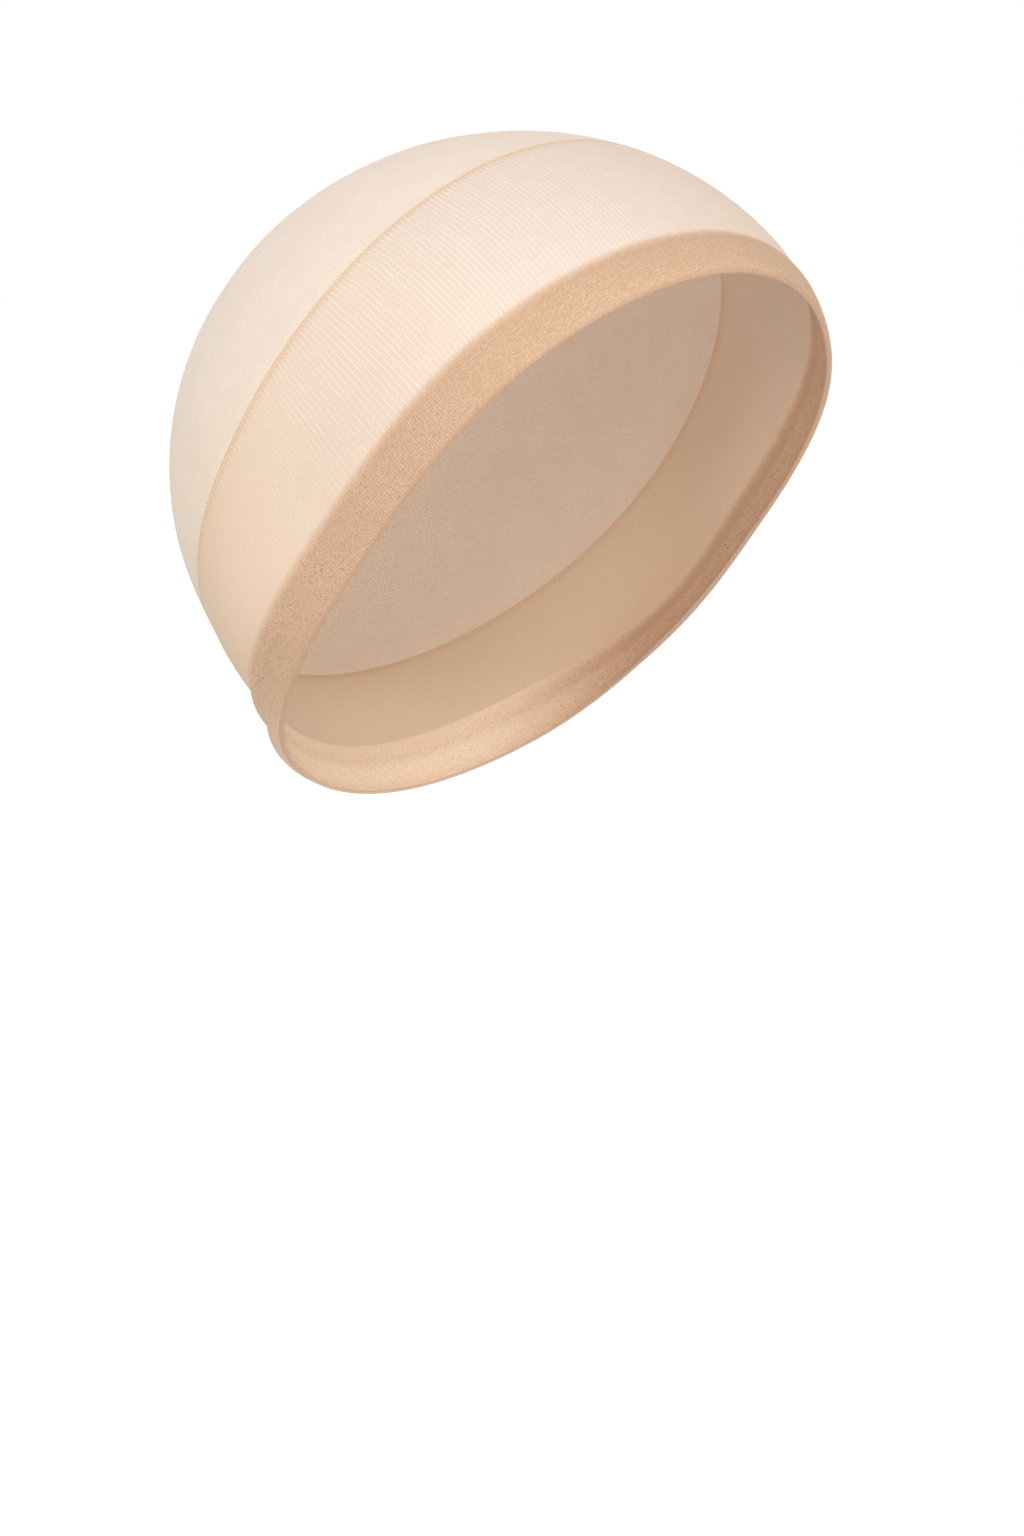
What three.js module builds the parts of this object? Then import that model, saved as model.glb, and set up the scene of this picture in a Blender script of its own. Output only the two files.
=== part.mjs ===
// Wig cap in its worn form: a closed knitted cap whose mouth faces down and forward.
// Millimetres, +Z up, the face side toward -Y. The origin is the inner top of the crown.
import * as THREE from 'three';

// Driving dimensions, in millimetres and degrees
const headHalfWidth = 75;
const headHalfLength = 98;
const headHalfHeight = 81.5;
const headTip = 3;
const panelWall = 1.0;
const bandWidth = 13.8;
const bandWall = 2.0;
const bandFold = 1.1;
const seamWidth = 1.5;
const seamWall = 1.7;
const edgeEase = 14;
const clearance = 0.3;

// Counts of facets
const facetsAround = 72;
const crownSteps = 11;
const stripSteps = 4;

// The small steps in which the face is walked and its slope is read: in stations and in degrees
const stationStep = 0.01;
const turnStep = 1;

// Rings of the cap. front and back are where a ring crosses the middle line, in degrees from the
// face's horizon over the top. dip is how far its sides leave that plane, as a share of the step
// from rim to seam.
const rings = {
  rim: { front: 32.5, back: 242.5, dip: -0.06 },
  seam: { front: 72, back: 220, dip: -0.13 },
  pole: { front: 145, back: 145, dip: 0 },
};

// Where the mouth stands off the plain dome, in six places from the forehead to the nape: at the
// rim and at the shoulder above it, as shares of edgeEase.
const shoulder = 0.36;
const easeRows = [
  { turn: 0, rim: 0, shoulder: -0.07 },
  { turn: 45, rim: -0.34, shoulder: -0.12 },
  { turn: 90, rim: -0.72, shoulder: -0.5 },
  { turn: 120, rim: -0.25, shoulder: 0.1 },
  { turn: 150, rim: 0.62, shoulder: 0.2 },
  { turn: 180, rim: 1, shoulder: 0.5 },
];

// Section of the band, walked round from its rim: along is a share of its width, out of its wall.
const bandSection = [
  { along: 0.06, out: 0 },
  { along: 0, out: 0.35 },
  { along: 0.02, out: 0.75 },
  { along: 0.1, out: 1 },
  { along: 0.26, out: 1 },
  { along: 0.4, out: 1 },
  { along: 0.52, out: 1 },
  { along: 0.64, out: 1 },
  { along: 0.78, out: 1 },
  { along: 0.92, out: 0.95 },
  { along: 1, out: 0.6 },
  { along: 1, out: 0 },
  { along: 0.64, out: 0 },
  { along: 0.4, out: 0 },
  { along: 0.2, out: 0 },
];

// Section of the stitched seam, walked round: along is a share of its width, out of its wall.
const seamSection = [
  { along: -0.5, out: 0 },
  { along: -0.5, out: 0.65 },
  { along: -0.2, out: 1 },
  { along: 0.2, out: 1 },
  { along: 0.5, out: 0.65 },
  { along: 0.5, out: 0 },
];

// The fold that runs along the band: swell across its width, as a share of bandFold.
const foldAcross = [
  { along: 0, swell: 0 },
  { along: 0.24, swell: 1 },
  { along: 0.52, swell: -0.4 },
  { along: 0.78, swell: 0.6 },
  { along: 1, swell: 0 },
];

// Where that fold starts and is full on each side of the head, in degrees from the forehead
const foldRight = { starts: 35, full: 65 };
const foldLeft = { starts: 100, full: 130 };

const { degToRad, lerp, smoothstep, euclideanModulo } = THREE.MathUtils;

// A smooth curve through the rows of a table, level at both ends
function through(rows, place, column) {
  const places = rows.map((row) => row[place]);
  const values = rows.map((row) => row[column]);
  const curve = new THREE.CubicInterpolant(places, values, 1);
  curve.settings = { endingStart: THREE.ZeroSlopeEnding, endingEnd: THREE.ZeroSlopeEnding };
  return (at) => curve.evaluate(at)[0];
}

const rimEase = through(easeRows, 'turn', 'rim');
const shoulderEase = through(easeRows, 'turn', 'shoulder');
const foldSwell = through(foldAcross, 'along', 'swell');

// A turn in degrees, brought between -180 and 180
function wrapped(turn) {
  return euclideanModulo(turn + 180, 360) - 180;
}

// A point of the dome's middle line: x runs back, y runs up
function midline(angle) {
  const back = -headHalfLength * Math.cos(degToRad(angle));
  const up = headHalfHeight * Math.sin(degToRad(angle));
  return new THREE.Vector2(back, up).rotateAround(new THREE.Vector2(), degToRad(-headTip));
}

// The highest point of the dome's inner face
function domeTop() {
  const tip = degToRad(headTip);
  const lean = (headHalfHeight ** 2 - headHalfLength ** 2) * Math.sin(tip) * Math.cos(tip);
  const rise = Math.hypot(headHalfLength * Math.sin(tip), headHalfHeight * Math.cos(tip));
  return new THREE.Vector3(0, lean / rise, rise);
}

const top = domeTop();

// How far the mouth stands off the dome. A station is 0 at the rim, 1 at the seam, 2 at the pole.
// Past the shoulder the ease fades to nothing at the seam, and sets out at half its last slope.
function easeAt(station, turn) {
  const place = Math.abs(wrapped(turn));
  const low = rimEase(place);
  const high = shoulderEase(place);
  if (station < shoulder) {
    return edgeEase * lerp(low, high, station / shoulder);
  }
  const rest = Math.min((station - shoulder) / (1 - shoulder), 1);
  const fall = ((high - low) / 2) * (1 / shoulder - 1);
  return edgeEase * (1 - rest) ** 2 * (high * (1 + 2 * rest) + fall * rest);
}

// A point of the cap's inner face
function skin(station, turn) {
  const [from, to] = station < 1 ? [rings.rim, rings.seam] : [rings.seam, rings.pole];
  const share = station < 1 ? station : station - 1;
  const front = lerp(from.front, to.front, share);
  const back = lerp(from.back, to.back, share);
  const ahead = midline(front);
  const behind = midline(back);
  const middle = ahead.clone().add(behind).divideScalar(2);
  const reach = ahead.clone().sub(behind).divideScalar(2);
  const half = headHalfWidth * Math.sin(degToRad((back - front) / 2));
  const arm = new THREE.Vector3(
    half * Math.sin(degToRad(turn)),
    reach.x * Math.cos(degToRad(turn)),
    reach.y * Math.cos(degToRad(turn)),
  );
  arm.setLength(arm.length() + easeAt(station, turn));
  return arm.add(new THREE.Vector3(0, middle.x, middle.y)).sub(top);
}

// The way out of the cap's face, square to it
function outward(station, turn) {
  const below = Math.min(station, 2 - 2 * stationStep);
  const up = skin(below + stationStep, turn).sub(skin(below - stationStep, turn));
  const side = skin(below, turn + turnStep).sub(skin(below, turn - turnStep));
  return side.cross(up).normalize();
}

// A point off the inner face by a distance
function off(station, turn, distance) {
  return skin(station, turn).addScaledVector(outward(station, turn), distance);
}

// The station that lies a distance along the face from another one, toward the pole
function climb(station, turn, distance) {
  const step = stationStep * Math.sign(distance);
  let here = station;
  let left = Math.abs(distance);
  let length = skin(here, turn).distanceTo(skin(here + step, turn));
  while (left > length) {
    left -= length;
    here += step;
    length = skin(here, turn).distanceTo(skin(here + step, turn));
  }
  return here + (step * left) / length;
}

// The station of a ring where it passes a turn
function ringAt(ring, base, turn) {
  return base + ring.dip * Math.sin(degToRad(turn)) ** 2;
}

const rimAt = (turn) => ringAt(rings.rim, 0, turn);
const bandTopAt = (turn) => climb(rimAt(turn), turn, bandWidth);
const seamAt = (turn) => ringAt(rings.seam, 1, turn);
const seamEdge = seamWidth / 2 + clearance;
const stripTopAt = (turn) => climb(seamAt(turn), turn, -seamEdge);
const stripFootAt = (turn) => climb(bandTopAt(turn), turn, clearance);
const crownFootAt = (turn) => climb(seamAt(turn), turn, seamEdge);

const turns = Array.from({ length: facetsAround }, (_, index) => (index * 360) / facetsAround);

// A closed body from rows of points. A row of one point is a pole; without poles the rows close up.
function loft(rows) {
  const positions = rows.flat().flatMap((point) => point.toArray());
  const starts = rows.map((_, index) => rows.slice(0, index).flat().length);
  const closed = rows[0].length > 1;
  const faces = [];
  for (let index = 0; index < rows.length - (closed ? 0 : 1); index += 1) {
    const next = (index + 1) % rows.length;
    for (let place = 0; place < facetsAround; place += 1) {
      const ahead = (place + 1) % facetsAround;
      const [a, b] = rows[index].length > 1 ? [place, ahead] : [0, 0];
      const [c, d] = rows[next].length > 1 ? [place, ahead] : [0, 0];
      if (a !== b) faces.push(starts[index] + a, starts[index] + b, starts[next] + c);
      if (c !== d) faces.push(starts[index] + b, starts[next] + d, starts[next] + c);
    }
  }
  const geometry = new THREE.BufferGeometry();
  geometry.setAttribute('position', new THREE.Float32BufferAttribute(positions, 3));
  geometry.setIndex(faces);
  geometry.computeVertexNormals();
  return geometry;
}

// The crown: an inner bowl from the pole to its mouth, and an outer one back
function crownShape() {
  const ringOff = (share, distance) => turns.map((turn) => {
    return off(lerp(crownFootAt(turn), 2, share), turn, distance);
  });
  const shares = Array.from({ length: crownSteps }, (_, index) => index / crownSteps);
  const outer = shares.map((share) => ringOff(share, panelWall));
  const inner = shares.map((share) => ringOff(share, 0));
  return loft([[off(2, 0, 0)], ...inner.reverse(), ...outer, [off(2, 0, panelWall)]]);
}

// The strip between the band and the seam
function stripShape() {
  const ringOff = (share, distance) => turns.map((turn) => {
    return off(lerp(stripFootAt(turn), stripTopAt(turn), share), turn, distance);
  });
  const shares = Array.from({ length: stripSteps + 1 }, (_, index) => index / stripSteps);
  const outer = shares.map((share) => ringOff(share, panelWall));
  const inner = shares.map((share) => ringOff(share, 0));
  return loft([...outer, ...inner.reverse()]);
}

// The stitched ring between the two panels
function seamShape() {
  return loft(seamSection.map(({ along, out }) => turns.map((turn) => {
    return off(climb(seamAt(turn), turn, along * seamWidth), turn, out * seamWall);
  })));
}

// How strong the band's fold is at a turn
function foldDepth(turn) {
  const place = wrapped(turn);
  const right = smoothstep(place, foldRight.starts, foldRight.full);
  return right + smoothstep(-place, foldLeft.starts, foldLeft.full);
}

// The band: its section carried round the mouth, with the fold moving both of its faces
function bandShape() {
  return loft(bandSection.map(({ along, out }) => turns.map((turn) => {
    const swell = bandFold * foldSwell(along) * foldDepth(turn);
    return off(lerp(rimAt(turn), bandTopAt(turn), along), turn, out * bandWall + swell);
  })));
}

const knit = (color, roughness) => new THREE.MeshStandardMaterial({ color, roughness, metalness: 0 });

// The pieces by name
const pieces = {
  crown_panel: [crownShape(), knit('#f1e0d1', 0.75)],
  front_panel: [stripShape(), knit('#f9e5d3', 0.75)],
  crown_seam: [seamShape(), knit('#f0d6ba', 0.8)],
  edge_band: [bandShape(), knit('#dcb899', 0.85)],
};

const wigCap = new THREE.Group();
wigCap.name = 'wig_cap';
for (const [name, [geometry, material]] of Object.entries(pieces)) {
  const mesh = new THREE.Mesh(geometry, material);
  mesh.name = name;
  wigCap.add(mesh);
}

export default wigCap;
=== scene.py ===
import math

import bpy
import numpy as np
from mathutils import Matrix, Vector, noise


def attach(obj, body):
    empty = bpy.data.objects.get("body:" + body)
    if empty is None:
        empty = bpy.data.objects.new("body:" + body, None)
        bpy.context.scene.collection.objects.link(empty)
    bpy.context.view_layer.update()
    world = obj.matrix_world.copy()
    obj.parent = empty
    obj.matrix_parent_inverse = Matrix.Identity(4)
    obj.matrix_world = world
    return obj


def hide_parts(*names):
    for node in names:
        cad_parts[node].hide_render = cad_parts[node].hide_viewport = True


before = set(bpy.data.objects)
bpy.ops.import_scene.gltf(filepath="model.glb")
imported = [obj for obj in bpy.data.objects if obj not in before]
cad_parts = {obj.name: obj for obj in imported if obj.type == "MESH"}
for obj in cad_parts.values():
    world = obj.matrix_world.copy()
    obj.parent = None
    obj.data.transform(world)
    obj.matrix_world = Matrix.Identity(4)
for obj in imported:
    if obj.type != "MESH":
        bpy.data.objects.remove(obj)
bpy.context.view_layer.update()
print("frame:", ", ".join(sorted(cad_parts)))

mm = 0.001
fullTurn = 2 * math.pi

# The worn form, the same as the frame's solids. A station is 0 at the rim, 1 at the seam and 2 at
# the pole. A turn is in degrees from the middle of the forehead, positive toward +X.
form = {
    "halfWidth": 75 * mm,
    "halfLength": 98 * mm,
    "halfHeight": 81.5 * mm,
    "tip": 3,  # degrees that the dome leans forward
    "edgeEase": 14 * mm,  # how far the mouth may stand off the plain dome
    "shoulder": 0.36,  # the station where that ease turns back
    "slopeStep": 0.01,  # the small steps in which the face is walked, in stations
    "turnStep": 1,  # and in degrees
    "mostSteps": 60,  # more of them than any walk along the face takes
    "meridianMarks": 24,  # the points by which a length up the face is measured
}
rings = {
    "rim": {"front": 32.5, "back": 242.5, "dip": -0.06},
    "seam": {"front": 72, "back": 220, "dip": -0.13},
    "pole": {"front": 145, "back": 145, "dip": 0},
}
easeRows = {
    "turn": (0, 45, 90, 120, 150, 180),
    "rim": (0, -0.34, -0.72, -0.25, 0.62, 1),
    "shoulder": (-0.07, -0.12, -0.5, 0.1, 0.2, 0.5),
}

# The knit: its ribs run from the seam to the rim all the way round
knit = {
    "ribs": 384,
    "course": 0.9 * mm,  # the length of a stitch along its rib
    "lean": 12,  # degrees that the ribs drift toward the nape at the sides
    "leanTurns": (55, 95, 125, 172),
    "wobble": 0.26,  # how far a rib wanders near the seam, in ribs
    "wobbleAcross": 5,  # how many ribs wander together
    "wobbleAlong": 7,  # courses in a wave
    "wobbleLow": 0.25,  # the share of it that is left at the band
    "wobbleRun": (0.35, 1),  # where it grows, on the strip
    "wobbleSeed": 3.7,
    "fineWales": 2.25,  # fine rows of stitches beside each other on a rib's width, crown and band
    "fineStitch": 0.56 * mm,
    "sideShares": (0.05, 0.75),  # where the forehead's look ends and the nape's begins
    "crease": 70,  # degrees past which an edge stays sharp
    "weld": 0.0005 * mm,  # points closer than this are one
}


def throughRows(rows, place, column, at):
    # a smooth curve through the rows, level at both ends
    places = np.array(rows[place], float)
    values = np.array(rows[column], float)
    slopes = np.zeros_like(values)
    slopes[1:-1] = (values[2:] - values[:-2]) / (places[2:] - places[:-2])
    low = np.clip(np.searchsorted(places, at, side="right") - 1, 0, len(places) - 2)
    gap = places[low + 1] - places[low]
    t = (at - places[low]) / gap
    rise = t * t * (3 - 2 * t)
    bend = gap * t * (1 - t) * ((1 - t) * slopes[low] - t * slopes[low + 1])
    return values[low] * (1 - rise) + values[low + 1] * rise + bend


def smoothStep(at, low, high):
    t = np.clip((at - low) / (high - low), 0, 1)
    return t * t * (3 - 2 * t)


def wrapped(turn):
    # a turn brought between -180 and 180
    return (turn + 180) % 360 - 180


def midline(angle):
    # the dome's middle line: how far back and how far up
    back = -form["halfLength"] * np.cos(np.radians(angle))
    up = form["halfHeight"] * np.sin(np.radians(angle))
    lean = math.radians(-form["tip"])
    return back * math.cos(lean) - up * math.sin(lean), back * math.sin(lean) + up * math.cos(lean)


def domeTop():
    # the highest point of the dome's inner face
    tip = math.radians(form["tip"])
    longer, taller = form["halfLength"], form["halfHeight"]
    rise = math.hypot(longer * math.sin(tip), taller * math.cos(tip))
    lean = (taller ** 2 - longer ** 2) * math.sin(tip) * math.cos(tip)
    return np.array([0, lean / rise, rise])


top = domeTop()


def easeAt(station, turn):
    # how far the mouth stands off the dome
    place = np.abs(wrapped(turn))
    low = throughRows(easeRows, "turn", "rim", place)
    high = throughRows(easeRows, "turn", "shoulder", place)
    shoulder = form["shoulder"]
    rest = np.clip((station - shoulder) / (1 - shoulder), 0, 1)
    fall = (high - low) / 2 * (1 / shoulder - 1)
    below = low + (high - low) * station / shoulder
    above = (1 - rest) ** 2 * (high * (1 + 2 * rest) + fall * rest)
    return form["edgeEase"] * np.where(station < shoulder, below, above)


def skin(station, turn):
    # points of the cap's inner face
    station, turn = np.broadcast_arrays(np.asarray(station, float), np.asarray(turn, float))
    lower = station < 1
    share = np.where(lower, station, station - 1)

    def crossing(side):
        rim, seam, pole = (rings[ring][side] for ring in ("rim", "seam", "pole"))
        return np.where(lower, rim + (seam - rim) * share, seam + (pole - seam) * share)

    front, back = crossing("front"), crossing("back")
    aheadY, aheadZ = midline(front)
    behindY, behindZ = midline(back)
    half = form["halfWidth"] * np.sin(np.radians((back - front) / 2))
    sine, cosine = np.sin(np.radians(turn)), np.cos(np.radians(turn))
    reach = ((aheadY - behindY) / 2 * cosine, (aheadZ - behindZ) / 2 * cosine)
    arm = np.stack([half * sine, *reach], -1)
    length = np.linalg.norm(arm, axis=-1, keepdims=True)
    arm = arm * (1 + easeAt(station, turn)[..., None] / np.maximum(length, 1e-9))  # none at the pole
    middle = np.stack([0 * sine, (aheadY + behindY) / 2, (aheadZ + behindZ) / 2], -1)
    return arm + middle - top


def outward(station, turn):
    # the way out of the face, square to it
    step, side = form["slopeStep"], form["turnStep"]
    below = np.minimum(station, 2 - 2 * step)
    climbing = skin(below + step, turn) - skin(below - step, turn)
    turning = skin(below, turn + side) - skin(below, turn - side)
    way = np.cross(turning, climbing)
    return way / np.linalg.norm(way, axis=-1, keepdims=True)


def climb(station, turn, distance):
    # the stations that lie a distance along the face, toward the pole
    step = form["slopeStep"] * math.copysign(1, distance)
    marks = station[:, None] + step * np.arange(form["mostSteps"])
    lengths = np.linalg.norm(np.diff(skin(marks, turn[:, None]), axis=1), axis=-1)
    runs = np.cumsum(lengths, axis=1)
    whole = (runs < abs(distance)).sum(1)
    rows = np.arange(len(turn))
    before = np.where(whole > 0, runs[rows, np.maximum(whole - 1, 0)], 0)
    return station + step * (whole + (abs(distance) - before) / lengths[rows, whole])


everyTurn = np.arange(-180, 181, 1.0)


def ringAt(ring, base):
    # the stations of a ring, at every turn
    return base + rings[ring]["dip"] * np.sin(np.radians(everyTurn)) ** 2


def around(values):
    # a line round the cap, looked up at any turn
    return lambda turn: np.interp(wrapped(turn), everyTurn, values)


# The band. A bare share is of its width where it runs across it, and of its wall where it lies off.
band = {
    "width": 13.8 * mm,
    "wall": 2.0 * mm,
    "lip": 1.3 * mm,  # how far its soft upper edge lies over the ribbed panel
    "fold": 1.1 * mm,
    "foldAcross": {"along": (0, 0.24, 0.52, 0.78, 1), "swell": (0, 1, -0.4, 0.6, 0)},
    "foldRight": (35, 65),  # where it starts and is full, in degrees from the forehead
    "foldLeft": (100, 130),
    "columnsPerRib": 5,
    "outerRows": 15,
    "lipRows": 13,
    "innerRows": 5,
    "outside": (0.11, 0.6),  # from the hairline above the hem to the lip's foot
    "hairline": 0.25,  # how deep that line is
    "hairlineRun": 0.09,  # how soon it rises to the full wall
    "lipFoot": 0.64,
    "lipThins": (0.6, 1.2),
    "lipThinned": 0.53,  # how much of the wall is gone at the lip's end
    "inside": (0.84, 0.1),
    "relief": 0.035 * mm,
    "reliefHem": (0, 0.15),  # where the knit's relief begins, and where it ends under the ribs
    "reliefLip": (0.85, 1.0),
    "dimple": 0.04 * mm,
    "dimpleEdge": (0.52, 0.75),  # the levels of the noise between which a dimple slopes
    "lipLift": 0.02 * mm,  # how far the lip lies off the ribs under it
}
seam = {
    "width": 1.34 * mm,
    "gap": 0.02 * mm,
    "wall": 0.99 * mm,
    "strand": 0.35 * mm,  # radius of one of its two threads
    "twist": 0.34 * mm,  # how far a thread swings about the line
    "rise": 0.4,  # how far it swings up and down, as a share of that
    "flat": 0.17,  # height of a thread, pressed flat, as a share of its width
    "sides": 6,
    "stepsPerTurn": 10,
}

rimLine = ringAt("rim", 0)
seamLine = ringAt("seam", 1)
bandTopLine = climb(rimLine, everyTurn, band["width"])
stripFootLine = climb(bandTopLine, everyTurn, seam["gap"])
stripTopLine = climb(seamLine, everyTurn, -seam["width"] / 2 - seam["gap"])
crownFootLine = climb(seamLine, everyTurn, seam["width"] / 2 + seam["gap"])


def meridianLength(low, high):
    # the length of the face between two lines, at every turn
    marks = low[None] + (high - low)[None] * np.linspace(0, 1, form["meridianMarks"])[:, None]
    steps = np.diff(skin(marks, everyTurn[None]), axis=0)
    return np.linalg.norm(steps, axis=-1).sum(0)


stripHeight = around(meridianLength(stripFootLine, stripTopLine))
crownHeight = around(meridianLength(crownFootLine, 0 * crownFootLine + 2))


def leanAt(turn, depth):
    # the drift of a rib toward the nape, by its depth below the seam as a share of the strip
    place = wrapped(turn)
    start, full, hold, end = knit["leanTurns"]
    strength = smoothStep(np.abs(place), start, full) * (1 - smoothStep(np.abs(place), hold, end))
    return np.sign(place) * knit["lean"] * strength * depth


def noiseAt(x, y, z=0.0):
    x, y, z = np.broadcast_arrays(np.asarray(x, float), np.asarray(y, float), z)
    flat = zip(x.ravel().tolist(), y.ravel().tolist(), z.ravel().tolist())
    return np.array([noise.noise(point) for point in flat]).reshape(x.shape)


def ringNoise(share, row, across, along, seed):
    # noise that closes on itself round the cap: across counts its lumps round the ring
    radius = across / fullTurn
    angle = fullTurn * share
    return noiseAt(radius * np.cos(angle) + seed, radius * np.sin(angle) - seed, row * along)


def gridPiece(name, columns, rows, place, loops):
    # a grid laid round the cap: place gives its points and loops its two maps of the cloth
    bpy.ops.object.select_all(action="DESELECT")
    bpy.ops.mesh.primitive_grid_add(x_subdivisions=columns, y_subdivisions=rows, size=2)
    piece = bpy.context.object
    piece.name = piece.data.name = name
    flat = np.zeros(len(piece.data.vertices) * 3)
    piece.data.vertices.foreach_get("co", flat)
    flat = flat.reshape(-1, 3)
    share = (flat[:, 0] + 1) / 2
    row = np.rint((flat[:, 1] + 1) / 2 * rows).astype(int)
    piece.data.vertices.foreach_set("co", place(share, row).astype(np.float32).ravel())
    shareMap = piece.data.uv_layers[0]
    shareMap.name = "share"
    marks = np.zeros(len(piece.data.loops) * 2)
    shareMap.data.foreach_get("uv", marks)
    marks = marks.reshape(-1, 2)
    loopRow = np.rint(marks[:, 1] * rows).astype(int)
    shares, cloth = loops(marks[:, 0], loopRow)
    shareMap.data.foreach_set("uv", shares.astype(np.float32).ravel())
    clothMap = piece.data.uv_layers.new(name="cloth")
    clothMap.data.foreach_set("uv", cloth.astype(np.float32).ravel())
    piece.data.update()
    bpy.ops.object.mode_set(mode="EDIT")
    bpy.ops.mesh.select_all(action="SELECT")
    bpy.ops.mesh.remove_doubles(threshold=knit["weld"])  # closes the back, the walk and the poles
    bpy.ops.mesh.normals_make_consistent(inside=False)
    bpy.ops.object.mode_set(mode="OBJECT")
    bpy.ops.object.shade_smooth_by_angle(angle=math.radians(knit["crease"]))
    print(name, len(piece.data.polygons), "faces")
    return piece


def clothMaps(share, along, height):
    # the share map, and the cloth map in whole ribs and courses
    courses = along * height(share * 360) / knit["course"]
    return np.stack([share, along], 1), np.stack([share * knit["ribs"], courses], 1)


# Camera at the photograph's angle, aimed past the cap's middle
camera = {
    "azimuth": -40.4,
    "elevation": 5.5,
    "distance": 1400 * mm,
    "right": 0.7 * mm,  # how far the origin stands right of the aim, and above it
    "above": 74.3 * mm,
    "lens": 132.9,  # in millimetres, as the sensor's width
    "sensor": 36,
    "nearest": 50 * mm,
}


def placeCamera():
    turn, rise = math.radians(camera["azimuth"]), math.radians(camera["elevation"])
    back = Vector((math.sin(turn) * math.cos(rise), -math.cos(turn) * math.cos(rise), math.sin(rise)))
    right = Vector((math.cos(turn), math.sin(turn), 0))
    up = back.cross(right)
    aim = -Vector(top) - camera["right"] * right - camera["above"] * up
    bpy.ops.object.camera_add()
    made = bpy.context.object
    made.name = "photo_camera"
    made.matrix_world = Matrix((right, up, back)).transposed().to_4x4()
    made.location = aim + camera["distance"] * back
    made.data.sensor_width = camera["sensor"]
    made.data.lens = camera["lens"]
    made.data.clip_start = camera["nearest"]
    bpy.context.scene.camera = made


placeCamera()
print("camera placed")

# The ribbed panel between the band and the seam
panel = {
    "wall": 1.0 * mm,
    "columnsPerRib": 4,
    "outerRows": 26,
    "innerRows": 8,
    "rib": 0.036 * mm,
    "secondRib": 0.5,  # the fine rib between two ribs, as a share of one
    "innerRib": -0.5,  # the ribs on the inner face, as a share of the outer ones
    "sideFlatten": 0.6,  # how much of their height the ribs lose from the temples to the nape
    "gather": 1.2,  # how much the ribs deepen toward the seam
    "gatherRun": (0.6, 1),
}
# Its section walked round: outer face up, edge, inner face down, edge
panelAlong = np.concatenate([
    np.linspace(0, 1, panel["outerRows"] + 1), [1],
    np.linspace(1, 0, panel["innerRows"] + 1), [0, 0],
])
panelOut = np.concatenate([
    np.ones(panel["outerRows"] + 1), [0.5],
    np.zeros(panel["innerRows"] + 1), [0.5, 1],
])


def ribWobble(share, along):
    courses = along * stripHeight(share * 360) / knit["course"] / knit["wobbleAlong"]
    low = knit["wobbleLow"]
    strength = knit["wobble"] * (low + (1 - low) * smoothStep(along, *knit["wobbleRun"]))
    ribs = ringNoise(share, courses, knit["ribs"] / knit["wobbleAcross"], 1, knit["wobbleSeed"])
    return strength * ribs * 360 / knit["ribs"]


def ribTurn(share, along):
    # where a rib stands: along is 1 at the seam, 0 at the band and below 0 on the band
    straight = share * 360
    return straight + leanAt(straight, 1 - along) + ribWobble(share, along)


def ribRelief(share):
    # how far the ribs rise from their middle height
    phase = fullTurn * share * knit["ribs"]
    side = smoothStep(0.5 - 0.5 * np.cos(fullTurn * share), *knit["sideShares"])
    height = panel["rib"] / 2 * (1 - panel["sideFlatten"] * side)
    return height * (np.cos(phase) + panel["secondRib"] * np.cos(2 * phase))


def placePanel(share, row):
    along, out = panelAlong[row], panelOut[row]
    turn = ribTurn(share, along)
    low, high = around(stripFootLine)(turn), around(stripTopLine)(turn)
    station = low + (high - low) * along
    deeper = 1 + panel["gather"] * smoothStep(along, *panel["gatherRun"])
    relief = deeper * ribRelief(share) * np.where(out == 0, panel["innerRib"], 1)
    distance = out * panel["wall"] + relief
    return skin(station, turn) + outward(station, turn) * distance[:, None]


def panelLoops(share, row):
    return clothMaps(share, panelAlong[row], stripHeight)


def buildPanel():
    columns = knit["ribs"] * panel["columnsPerRib"]
    piece = gridPiece("ribbed_panel", columns, len(panelAlong) - 1, placePanel, panelLoops)
    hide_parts("front_panel")
    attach(piece, "root")
    return piece


# The crown: an inner bowl from the pole to its mouth and an outer one back
crown = {
    "wall": 1.0 * mm,
    "columns": 480,
    "outerRows": 76,
    "innerRows": 40,
    "hollow": 0.35 * mm,  # soft unevenness of the stretched cloth
    "hollowSize": 22 * mm,
    "hollowRun": (0.02, 0.2),  # where it begins, from the mouth toward the pole
    "welt": 0.04 * mm,  # how far its edge rises to the seam's threads
    "weltWidth": 1.2 * mm,
}
crownAlong = np.concatenate([
    np.linspace(1, 0, crown["innerRows"] + 1), [0],
    np.linspace(0, 1, crown["outerRows"] + 1),
])
crownOut = np.concatenate([
    np.zeros(crown["innerRows"] + 1), [0.5],
    np.ones(crown["outerRows"] + 1),
])


def placeCrown(share, row):
    along, out = crownAlong[row], crownOut[row]
    turn = np.where(along == 1, 0, share * 360)
    low = around(crownFootLine)(turn)
    station = low + (2 - low) * along
    points = skin(station, turn)
    soft = points / crown["hollowSize"]
    fade = smoothStep(along, *crown["hollowRun"])
    swell = crown["hollow"] * fade * noiseAt(soft[:, 0], soft[:, 1], soft[:, 2])
    inward = smoothStep(along * crownHeight(turn), 0, crown["weltWidth"])
    swell = swell + crown["welt"] * (1 - inward)
    return points + outward(station, turn) * (out * crown["wall"] + swell)[:, None]


def crownLoops(share, row):
    return clothMaps(share, crownAlong[row], crownHeight)


def buildCrown():
    rows = len(crownAlong) - 1
    piece = gridPiece("crown_cloth", crown["columns"], rows, placeCrown, crownLoops)
    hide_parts("crown_panel")
    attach(piece, "root")
    return piece


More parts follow.
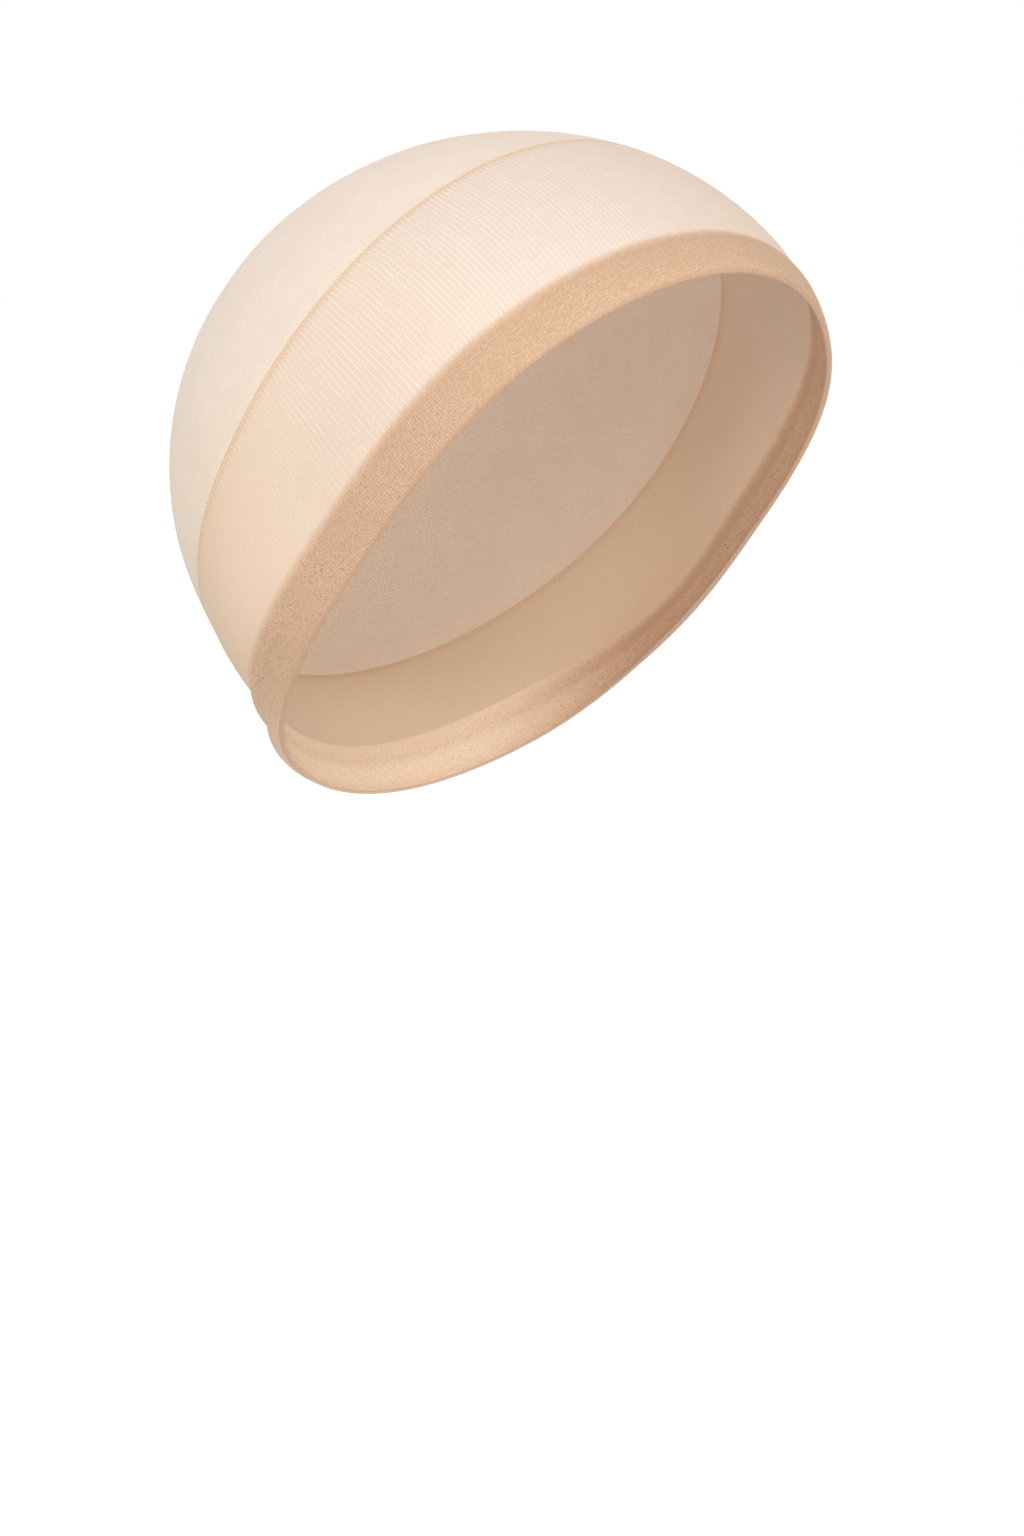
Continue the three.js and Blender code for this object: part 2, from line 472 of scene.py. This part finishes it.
# The band's section walked round: the hem's roll and the hairline above it, the outer face, the
# soft lip, its blunt end and the inner face. Each pair is along its width and out of its wall.
lipReach = 1 + band["lip"] / band["width"]
hem = [(0, 0.12), (-0.004, 0.24), (0, 0.38), (0.016, 0.52), (0.036, 0.6), (0.056, 0.6), (0.08, 0.69)]
lipEnd = [(1 + 0.98 * (lipReach - 1), 0.46), (1, 0.44), (1, 0)]
innerFoot = [(0.02, 0.03), hem[0]]


def bandSection():
    outer = np.linspace(*band["outside"], band["outerRows"] + 1)
    outerOut = 1 - band["hairline"] * np.exp((outer[0] - outer) / band["hairlineRun"])
    lip = np.linspace(band["lipFoot"], lipReach, band["lipRows"] + 1)
    thinned = smoothStep(lip, *band["lipThins"]) / smoothStep(lipReach, *band["lipThins"])
    lipOut = 1 - band["lipThinned"] * thinned
    inner = np.linspace(*band["inside"], band["innerRows"])
    rows = [*hem, *zip(outer, outerOut), *zip(lip, lipOut), *lipEnd]
    rows += [*zip(inner, 0 * inner), *innerFoot]
    return np.array(rows).T


bandAlong, bandOut = bandSection()

# Three sizes of lumps in its knit: across counts them to a rib and along to a millimetre
lumps = {
    "wales": {"across": 1.6, "along": 0.33, "seed": 1.3, "height": 0.9},
    "grains": {"across": 1.15, "along": 0.9, "seed": 5.1, "height": 0.7},
    "dimples": {"across": 1 / 4.2, "along": 0.24, "seed": 8.9, "height": 1},
}


def lumpsAt(name, share, along):
    lump = lumps[name]
    row = along * band["width"] / mm
    across = knit["ribs"] * lump["across"]
    return lump["height"] * ringNoise(share, row, across, lump["along"], lump["seed"])


def foldDepth(turn):
    place = wrapped(turn)
    right = smoothStep(place, *band["foldRight"])
    return right + smoothStep(-place, *band["foldLeft"])


def placeBand(share, row):
    along, out = bandAlong[row], bandOut[row]
    height = stripHeight(share * 360)
    turn = ribTurn(share, -(1 - along) * band["width"] / height)
    low, high = around(rimLine)(turn), around(bandTopLine)(turn)
    station = low + (high - low) * along
    swell = throughRows(band["foldAcross"], "along", "swell", np.clip(along, 0, 1))
    onLip = smoothStep(along, *band["reliefLip"])
    onFace = (out > 0.5) * smoothStep(along, *band["reliefHem"]) * (1 - onLip)
    relief = band["relief"] * (lumpsAt("wales", share, along) + lumpsAt("grains", share, along))
    dimples = smoothStep(lumpsAt("dimples", share, along), *band["dimpleEdge"])
    relief = (relief - band["dimple"] * dimples) * onFace
    ribs = (ribRelief(share) + band["lipLift"]) * onLip * (out > 0)
    distance = out * band["wall"] + band["fold"] * swell * foldDepth(turn) + relief + ribs
    return skin(station, turn) + outward(station, turn) * distance[:, None]


def bandLoops(share, row):
    return clothMaps(share, bandAlong[row], lambda turn: band["width"])


def buildBand():
    columns = knit["ribs"] * band["columnsPerRib"]
    piece = gridPiece("hem_band", columns, len(bandAlong) - 1, placeBand, bandLoops)
    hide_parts("edge_band")
    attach(piece, "root")
    return piece


# The seam: a narrow tape between the panels, and two threads twisted round each other on it
tapeSection = [(-0.5, 0), (-0.5, 1), (-0.2, 1), (0.2, 1), (0.5, 1), (0.5, 0), (-0.5, 0)]
tapeAlong = np.array([place for place, _ in tapeSection])
tapeOut = np.array([out for _, out in tapeSection])


def seamPoints(turn, across, distance):
    # points beside the seam's line, and off the face there
    station = around(seamLine)(turn)
    slope = skin(station + form["slopeStep"], turn) - skin(station, turn)
    slope = slope / np.linalg.norm(slope, axis=-1, keepdims=True)
    way = outward(station, turn)
    return skin(station, turn) + slope * across[:, None] + way * distance[:, None]


def placeTape(share, row):
    return seamPoints(share * 360, tapeAlong[row] * seam["width"], tapeOut[row] * seam["wall"])


def tapeLoops(share, row):
    # half way between the threads' colour and their painted shade
    return np.stack([share, 0 * share + 0.5], 1), np.stack([share * knit["ribs"], tapeAlong[row]], 1)


def threadAngle(share, start):
    # how far round its twist a thread is: a whole turn on every second rib
    return fullTurn * (share * knit["ribs"] / 2 + start)


def placeThread(start):
    def place(share, row):
        angle = threadAngle(share, start)
        side = fullTurn * row / seam["sides"]
        across = seam["twist"] * np.cos(angle) + seam["strand"] * np.cos(side)
        rise = seam["rise"] * seam["twist"] * np.sin(angle) + seam["strand"] * np.sin(side)
        return seamPoints(share * 360, across, seam["wall"] + seam["flat"] * rise)
    return place


def threadLoops(start):
    def loops(share, row):
        depth = 0.5 + 0.5 * np.sin(threadAngle(share, start))
        return np.stack([share, depth], 1), np.stack([share * knit["ribs"], row / seam["sides"]], 1)
    return loops


def buildSeam():
    tape = gridPiece("seam_stitching", knit["ribs"], len(tapeSection) - 1, placeTape, tapeLoops)
    columns = knit["ribs"] // 2 * seam["stepsPerTurn"]
    threads = [
        gridPiece(f"thread_{start}", columns, seam["sides"], placeThread(start), threadLoops(start))
        for start in (0, 0.5)
    ]
    bpy.ops.object.select_all(action="DESELECT")
    for part in (tape, *threads):
        part.select_set(True)
    bpy.context.view_layer.objects.active = tape
    bpy.ops.object.join()
    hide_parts("crown_seam")
    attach(tape, "root")
    return tape


class Value:
    # a node's output that takes part in sums: mask * 2 + 1 adds the Math nodes for it
    def __init__(self, finish, socket):
        self.finish = finish
        self.socket = socket

    def math(self, operation, *others):
        values = dict(enumerate((self, *others)))
        return self.finish.node("Math", {"operation": operation}, values)

    def __add__(self, other):
        return self.math("ADD", other)

    def __radd__(self, other):
        return self.math("ADD", other)

    def __mul__(self, other):
        return self.math("MULTIPLY", other)

    def __rmul__(self, other):
        return self.math("MULTIPLY", other)

    def __sub__(self, other):
        return self.math("SUBTRACT", other)

    def __rsub__(self, other):
        return (self * -1).math("ADD", other)

    def __truediv__(self, other):
        return self.math("DIVIDE", other)

    def __pow__(self, other):
        return self.math("POWER", other)

    def cosine(self):
        # 1 at every whole number and -1 half way between
        return (self * fullTurn).math("COSINE")

    def wave(self):
        # 1 at every whole number and 0 half way between
        return self.cosine() * 0.5 + 0.5

    def swing(self, reach):
        # a value from 0 to 1, made to swing about 0
        return (self - 0.5) * reach


class Finish:
    # one material and its nodes
    def __init__(self, name, settings):
        self.material = bpy.data.materials.new(name)
        self.material.use_nodes = True
        self.tree = self.material.node_tree
        self.tree.nodes.clear()
        self.shader = self.tree.nodes.new("ShaderNodeBsdfPrincipled")
        out = self.tree.nodes.new("ShaderNodeOutputMaterial")
        self.tree.links.new(self.shader.outputs[0], out.inputs["Surface"])
        for socket, value in settings.items():
            self.shader.inputs[socket].default_value = value

    def node(self, kind, settings, sockets, output=0):
        made = self.tree.nodes.new("ShaderNode" + kind)
        for key, value in settings.items():
            setattr(made, key, value)
        for key, value in sockets.items():
            if isinstance(value, Value):
                self.tree.links.new(value.socket, made.inputs[key])
            else:
                made.inputs[key].default_value = value
        return Value(self, made.outputs[output])

    def feed(self, socket, value):
        self.tree.links.new(value.socket, self.shader.inputs[socket])

    def place(self):
        return self.node("TexCoord", {}, {}, "Object")

    def axis(self, vector, axis):
        return self.node("SeparateXYZ", {}, {0: vector}, axis)

    def map(self, name):
        uv = self.node("UVMap", {"uv_map": name}, {})
        return self.axis(uv, 0), self.axis(uv, 1)

    def noise(self, vector, scale, detail=2, roughness=0.5):
        sockets = {"Vector": vector, "Scale": scale, "Detail": detail, "Roughness": roughness}
        return self.node("TexNoise", {"noise_dimensions": "3D"}, sockets, "Fac")

    def cells(self, vector, scale, feature):
        # the distance to the nearest cell's middle
        settings = {"feature": feature, "voronoi_dimensions": "3D"}
        return self.node("TexVoronoi", settings, {"Vector": vector, "Scale": scale}, "Distance")

    def ramp(self, value, low, high):
        # 0 below low, 1 above high and smooth between
        sockets = {"Value": value, "From Min": low, "From Max": high}
        return self.node("MapRange", {"interpolation_type": "SMOOTHSTEP"}, sockets)

    def mix(self, factor, first, second):
        # two colours, or by blend two numbers
        sockets = {"Factor": factor, 6: first, 7: second}
        return self.node("Mix", {"data_type": "RGBA"}, sockets, 2)

    def blend(self, factor, first, second):
        return self.node("Mix", {"data_type": "FLOAT"}, {"Factor": factor, 2: first, 3: second})

    def bump(self, height, distance):
        return self.node("Bump", {}, {"Height": height, "Distance": distance})


def colour(red, green, blue):
    # a colour as it shows on a screen, 0 to 255, turned into the light that a surface gives back
    def light(level):
        share = level / 255
        return share / 12.92 if share <= 0.04045 else ((share + 0.055) / 1.055) ** 2.4
    return (light(red), light(green), light(blue), 1)


clothGloss = {
    "Roughness": 0.82,
    "Specular IOR Level": 0.25,
    "Sheen Weight": 0.08,
    "Sheen Roughness": 0.5,
}
# Fine rows of stitches to a course of the ribs
stitchesPerCourse = knit["course"] / knit["fineStitch"]

# Light knit with a rib every millimetre and a third, and a finer one between. Its scales of noise
# count lumps to a metre, here and below.
ribbedLook = {
    "ridge": colour(234, 225, 216),
    "groove": colour(222, 202, 187),
    # The sides' colours: denser, warmer knit there, and painted warm shade as well
    "sideDenseShadedRidge": colour(235, 213, 189),
    "sideDenseShadedGroove": colour(224, 198, 172),
    "drawn": colour(222, 190, 160),  # painted shade in the grooves between the ribs, where the seam draws them in
    "drawnRun": (0.94, 1.0),  # from where to where on the strip
    "seamGrooveShadeLeast": 0.2,
    "mottleScale": 260,
    "grainScale": 1500,
    "crest": 4,  # the higher, the narrower a rib's bright crest
    "fineCrest": 2,
    "weakest": 0.1,  # the strength of the weakest rib
    "uneven": 0.85,  # and how much the strongest has more
    "unevenScale": 0.9,
    "unevenAlong": 0.03,  # how slowly it changes along a rib, against across
    "sideFade": 0.65,  # how much of it the sides lose
    "fineRib": 0.44,
    "stitchRow": 0.32,
    "evenness": 0.3,  # the part of a line that the mottle leaves alone
    "grain": 0.9,
    "bumpLine": 0.6,
    "bumpGrain": 0.5,
    "bump": 0.03 * mm,
}
# Painted shade: the sides' darker look begins sooner toward +X, the side turned away from the key
# lamp: from where to where in metres, and how strong
shadeSoonerRun = (-0.02, 0.05)
shadeSoonerShare = 0.45


def fromForehead(share):
    # 0 over the forehead and 1 at the nape
    return share.cosine() * -0.5 + 0.5


def sideAt(finish, share, place):
    side = finish.ramp(fromForehead(share), *knit["sideShares"])
    # painted shade on the +X side, away from the key lamp
    shadeSooner = finish.ramp(finish.axis(place, "X"), *shadeSoonerRun) * shadeSoonerShare
    return side + (1 - side) * shadeSooner


def ribLines(finish, side, wale, course, mottle, grain):
    # 1 on a rib's crest and 0 between, each rib a little stronger or weaker than the next
    look = ribbedLook
    fine = (wale * 2).wave()
    stitches = (course * stitchesPerCourse).wave()
    each = finish.node("CombineXYZ", {}, {0: wale, 1: course * look["unevenAlong"]})
    each = look["weakest"] + finish.noise(each, look["unevenScale"], 1) * look["uneven"]
    line = wale.wave() ** look["crest"] * each * (1 - side * look["sideFade"])
    line = line + fine ** look["fineCrest"] * look["fineRib"]
    rows = stitches.swing(fine + side) * look["stitchRow"]
    return line * (look["evenness"] + mottle) + grain.swing(look["grain"]) + rows


def ribTone(finish, side, line):
    # lighter over the forehead, where the knit is stretched most; darker and warmer toward the sides
    # and nape, partly from the denser knit there and partly painted warm shade
    ridge = finish.mix(side, ribbedLook["ridge"], ribbedLook["sideDenseShadedRidge"])
    groove = finish.mix(side, ribbedLook["groove"], ribbedLook["sideDenseShadedGroove"])
    return finish.mix(line, groove, ridge)


def ribbedFinish():
    look = ribbedLook
    finish = Finish("ribbed_knit", clothGloss)
    share, along = finish.map("share")
    wale, course = finish.map("cloth")
    place = finish.place()
    mottle = finish.noise(place, look["mottleScale"], 3)
    grain = finish.noise(place, look["grainScale"], 1)
    side = sideAt(finish, share, place)
    line = ribLines(finish, side, wale, course, mottle, grain)
    tone = ribTone(finish, side, line)
    # painted shade in the grooves between the ribs next to the seam
    drawn = finish.ramp(along, *look["drawnRun"]) * (1 - wale.wave()) * (look["seamGrooveShadeLeast"] + mottle)
    height = line * look["bumpLine"] + grain * look["bumpGrain"]
    finish.feed("Base Color", finish.mix(drawn, tone, look["drawn"]))
    finish.feed("Normal", finish.bump(height, look["bump"]))
    return finish.material


# Finer, greyer knit of the crown: pebbled, with the ribs just traceable near the seam
crownLook = {
    "raised": colour(239, 226, 214),
    "sunk": colour(227, 208, 192),
    "lowShadedRaised": colour(242, 227, 209),
    "lowShadedSunk": colour(230, 210, 189),
    "lowShadeRun": (0.03, 0.12),  # where the painted warm shade of the lower crown comes in, from how far to how far below the top, in metres
    "grainScale": 1500,
    "grain": 1.2,
    "mottleScale": 120,
    "mottle": 0.5,
    "wanderScale": 300,
    "wander": 1.6,  # how far a line wanders, in lines, and drift the same for a row
    "driftScale": 230,
    "drift": 2.5,
    "halvedRun": (0.3, 0.42),  # where on the crown every second line ends
    "pebbledRun": (0.55, 0.8),  # where the lines give way to pebbles
    "line": 0.20,
    "row": 0.18,
    "pebbleScale": 1500,
    "pebble": 0.35,  # the middle height of the pebbles
    "bump": 0.07 * mm,
}


def crownFinish():
    look = crownLook
    finish = Finish("crown_knit", clothGloss)
    _, along = finish.map("share")
    wale, course = finish.map("cloth")
    place = finish.place()
    grain = finish.noise(place, look["grainScale"])
    mottle = finish.noise(place, look["mottleScale"], 3)
    wander = finish.noise(place, look["wanderScale"]).swing(look["wander"])
    drift = finish.noise(place, look["driftScale"], 1).swing(look["drift"])
    near = wale * knit["fineWales"] + wander
    halved = wale * (knit["fineWales"] / 2) + wander
    rows = course * stitchesPerCourse + drift
    pebbles = look["pebble"] - finish.cells(place, look["pebbleScale"], "SMOOTH_F1")
    lines = finish.blend(finish.ramp(along, *look["halvedRun"]), near.cosine(), halved.cosine())
    lines = lines * look["line"] + rows.cosine() * look["row"]
    lines = finish.blend(finish.ramp(along, *look["pebbledRun"]), lines, pebbles)
    raised = 0.5 + lines + grain.swing(look["grain"]) + mottle.swing(look["mottle"])
    # painted warm shade: the crown turns warmer toward the bottom
    low = finish.ramp(finish.axis(place, "Z") * -1, *look["lowShadeRun"])
    sunk = finish.mix(low, look["sunk"], look["lowShadedSunk"])
    upper = finish.mix(low, look["raised"], look["lowShadedRaised"])
    finish.feed("Base Color", finish.mix(raised, sunk, upper))
    finish.feed("Normal", finish.bump(raised, look["bump"]))
    return finish.material


# Dense golden knit of the doubled band, lighter at its soft upper edge, with painted light toward the
# nape and painted shade on its hem
bandLook = {
    "raised": colour(216, 185, 156),
    "sunk": colour(188, 151, 121),
    # Paler toward the nape: painted light, standing in for the light that reaches the band there
    "napeLitRaised": colour(248, 225, 198),
    "napeLitSunk": colour(228, 198, 169),
    "pit": colour(170, 124, 90),
    "lip": colour(230, 201, 170),
    # painted shade on the hem roll at the rim
    "hem": colour(190, 153, 126),
    "napeLitRun": (0.65, 0.97),  # where the painted light that lifts the shaded nape comes in, from the forehead to the nape, as shares
    "wanderScale": 430,
    "wander": 1.2,  # how far a line of stitches wanders, in lines, and drift the same for a row
    "driftScale": 340,
    "driftRoughness": 0.6,
    "drift": 5,
    "patchScale": 90,
    "looseRun": (0.35, 0.65),  # the patches of noise where the knit is loose
    "loose": (0.9, 0.35),  # how loose it is there, over what it is everywhere
    "wale": 0.5,
    "stitch": 0.25,
    "looseStitch": 0.15,
    "grainScale": 1600,
    "grain": 1.3,
}
# Pits between its stitches: fewer over the forehead, paler at the nape and larger in patches
pitLook = {
    "scale": 950,
    "patchRun": (0.3, 0.7),
    "size": (0.09, 0.13),  # how much larger in a patch, over their least radius, in cells
    "edge": (0.6, 1.4),  # from a pit's floor to its edge, in radii
    "turnRun": (0.1, 0.5),  # from the forehead to the nape, as shares
    "turned": (0.7, 0.3),  # how much stronger they get there, over the forehead's
    "sideFade": 0.6,
    "shade": 0.85,
    "depth": 0.5,
}
# Its edges: the hem roll darkened with painted shade, the light lip, and the ribs that show where it
# thins out
edgeLook = {
    "hemShadeRun": (0.03, 0.075),
    "hem": 0.6,
    "lipRun": (0.82, 1.0),
    "lipWander": 0.1,
    "lip": 0.45,
    "ribsRun": (0.93, 1.085),
    "ribsWander": 0.06,
    "lipSmooth": 0.7,  # how much of the knit's bump the lip loses
    "bump": 0.04 * mm,
}


def scaled(value, change):
    more, least = change
    return value * more + least


def bandPits(finish, share, side, patch, place):
    size = scaled(finish.ramp(patch, *pitLook["patchRun"]), pitLook["size"])
    nearest = finish.cells(place, pitLook["scale"], "F1")
    pits = 1 - finish.ramp(nearest / size, *pitLook["edge"])
    turned = scaled(finish.ramp(fromForehead(share), *pitLook["turnRun"]), pitLook["turned"])
    return pits * turned * (1 - side * pitLook["sideFade"])


def bandFinish():
    look, edges = bandLook, edgeLook
    finish = Finish("band_knit", clothGloss)
    share, along = finish.map("share")
    wale, course = finish.map("cloth")
    place = finish.place()
    wander = finish.noise(place, look["wanderScale"])
    drift = finish.noise(place, look["driftScale"], 2, look["driftRoughness"])
    patch = finish.noise(place, look["patchScale"])
    grain = finish.noise(place, look["grainScale"])
    loose = scaled(finish.ramp(patch, *look["looseRun"]), look["loose"])
    wales = (wale * knit["fineWales"] + wander.swing(loose) * look["wander"]).wave()
    stitches = (course * stitchesPerCourse + drift.swing(look["drift"])).wave()
    stitches = stitches * (look["stitch"] + loose * look["looseStitch"])
    raised = wales * look["wale"] + stitches + grain.swing(look["grain"])
    # painted light: the band turns paler toward the nape
    side = finish.ramp(fromForehead(share), *look["napeLitRun"])
    sunk = finish.mix(side, look["sunk"], look["napeLitSunk"])
    upper = finish.mix(side, look["raised"], look["napeLitRaised"])
    tone = finish.mix(raised, sunk, upper)
    pits = bandPits(finish, share, side, patch, place)
    tone = finish.mix(pits * pitLook["shade"], tone, look["pit"])
    # painted shade on the hem roll
    hem = 1 - finish.ramp(along, *edges["hemShadeRun"])
    tone = finish.mix(hem * edges["hem"], tone, look["hem"])
    lip = finish.ramp(along + wander.swing(edges["lipWander"]), *edges["lipRun"])
    tone = finish.mix(lip * edges["lip"], tone, look["lip"])
    mottle = finish.noise(place, ribbedLook["mottleScale"], 3)
    ribSide = sideAt(finish, share, place)
    line = ribLines(finish, ribSide, wale, course, mottle, grain)
    fade = finish.ramp(along + wander.swing(edges["ribsWander"]), *edges["ribsRun"])
    height = (raised - pits * pitLook["depth"]) * (1 - lip * edges["lipSmooth"])
    finish.feed("Base Color", finish.mix(fade, tone, ribTone(finish, ribSide, line)))
    finish.feed("Normal", finish.bump(height, edges["bump"]))
    return finish.material


# Golden thread of the seam, with painted shade where one thread passes under the other
threadLook = {
    "over": colour(229, 204, 174),
    "underShade": colour(212, 179, 144),
    "depth": 0.8,
    "grainScale": 2200,
    "grain": 0.4,
    "bump": 0.06 * mm,
}


def threadFinish():
    look = threadLook
    finish = Finish("seam_thread", clothGloss)
    _, depth = finish.map("share")
    grain = finish.noise(finish.place(), look["grainScale"])
    # painted shade where a thread dips under the other
    shown = depth * look["depth"] + grain * look["grain"]
    finish.feed("Base Color", finish.mix(shown, look["underShade"], look["over"]))
    finish.feed("Normal", finish.bump(grain, look["bump"]))
    return finish.material


def dress(piece, material):
    piece.data.materials.clear()
    piece.data.materials.append(material)


dress(buildPanel(), ribbedFinish())
dress(buildCrown(), crownFinish())
dress(buildBand(), bandFinish())
dress(buildSeam(), threadFinish())
print("pieces dressed")

# Plain pale floor and backdrop that only the camera sees, dim warm surroundings and soft lamps
white = (1, 1, 1, 1)
studio = {
    "floorDepth": 325.6 * mm,
    "floorSize": 16,
    "floorTone": (0.6, 0.6, 0.6, 1),
    "floorGlow": 0.75,
    "backdropRadius": 8,
    "backdropSides": 48,
    "backdropGlow": 1,
    "surround": (0.76, 0.74, 0.72, 1),
    "lamps": {
        "key": {"place": (-1.10, -0.84, 0.52), "size": 0.9, "power": 11.1, "tint": (1, 1, 1)},
        "side": {"place": (1.10, -0.90, -0.05), "size": 0.9, "power": 1.6, "tint": (1, 0.96, 0.9)},
        "bounce": {"place": (0.00, -0.62, -0.31), "size": 0.8, "power": 1.3, "tint": (1, 1, 1)},
        "fill": {"place": (0.80, 1.15, 0.06), "size": 1.2, "power": 3.0, "tint": (1, 1, 1)},
    },
}


def stageOnly(piece, name, tone, glow):
    # white to the camera, with no light of its own on the cap
    piece.name = name
    matt = {"Roughness": 1, "Specular IOR Level": 0}
    lit = {"Emission Color": white, "Emission Strength": glow}
    dress(piece, Finish(name, {"Base Color": tone, **matt, **lit}).material)
    piece.visible_diffuse = piece.visible_glossy = piece.visible_shadow = False


def placeLamp(name, lamp):
    bpy.ops.object.light_add(type="AREA", location=lamp["place"])
    made = bpy.context.object
    made.name = name + "_lamp"
    made.data.size = lamp["size"]
    made.data.energy = lamp["power"]
    made.data.color = lamp["tint"]
    aim = Vector((0, 0, -form["halfHeight"])) - made.location
    made.rotation_euler = aim.to_track_quat("-Z", "Y").to_euler()


def buildStudio():
    bpy.ops.object.select_all(action="DESELECT")
    bpy.ops.mesh.primitive_plane_add(size=studio["floorSize"], location=(0, 0, -studio["floorDepth"]))
    stageOnly(bpy.context.object, "pale_floor", studio["floorTone"], studio["floorGlow"])
    sides = studio["backdropSides"]
    bpy.ops.mesh.primitive_uv_sphere_add(
        segments=sides, ring_count=sides // 2, radius=studio["backdropRadius"]
    )
    stageOnly(bpy.context.object, "pale_backdrop", (0, 0, 0, 1), studio["backdropGlow"])
    world = bpy.data.worlds.new("soft_surround")
    world.use_nodes = True
    world.node_tree.nodes["Background"].inputs["Color"].default_value = studio["surround"]
    bpy.context.scene.world = world
    for name, lamp in studio["lamps"].items():
        placeLamp(name, lamp)
    bpy.context.scene.view_settings.view_transform = "Standard"
    print("studio lit")


buildStudio()
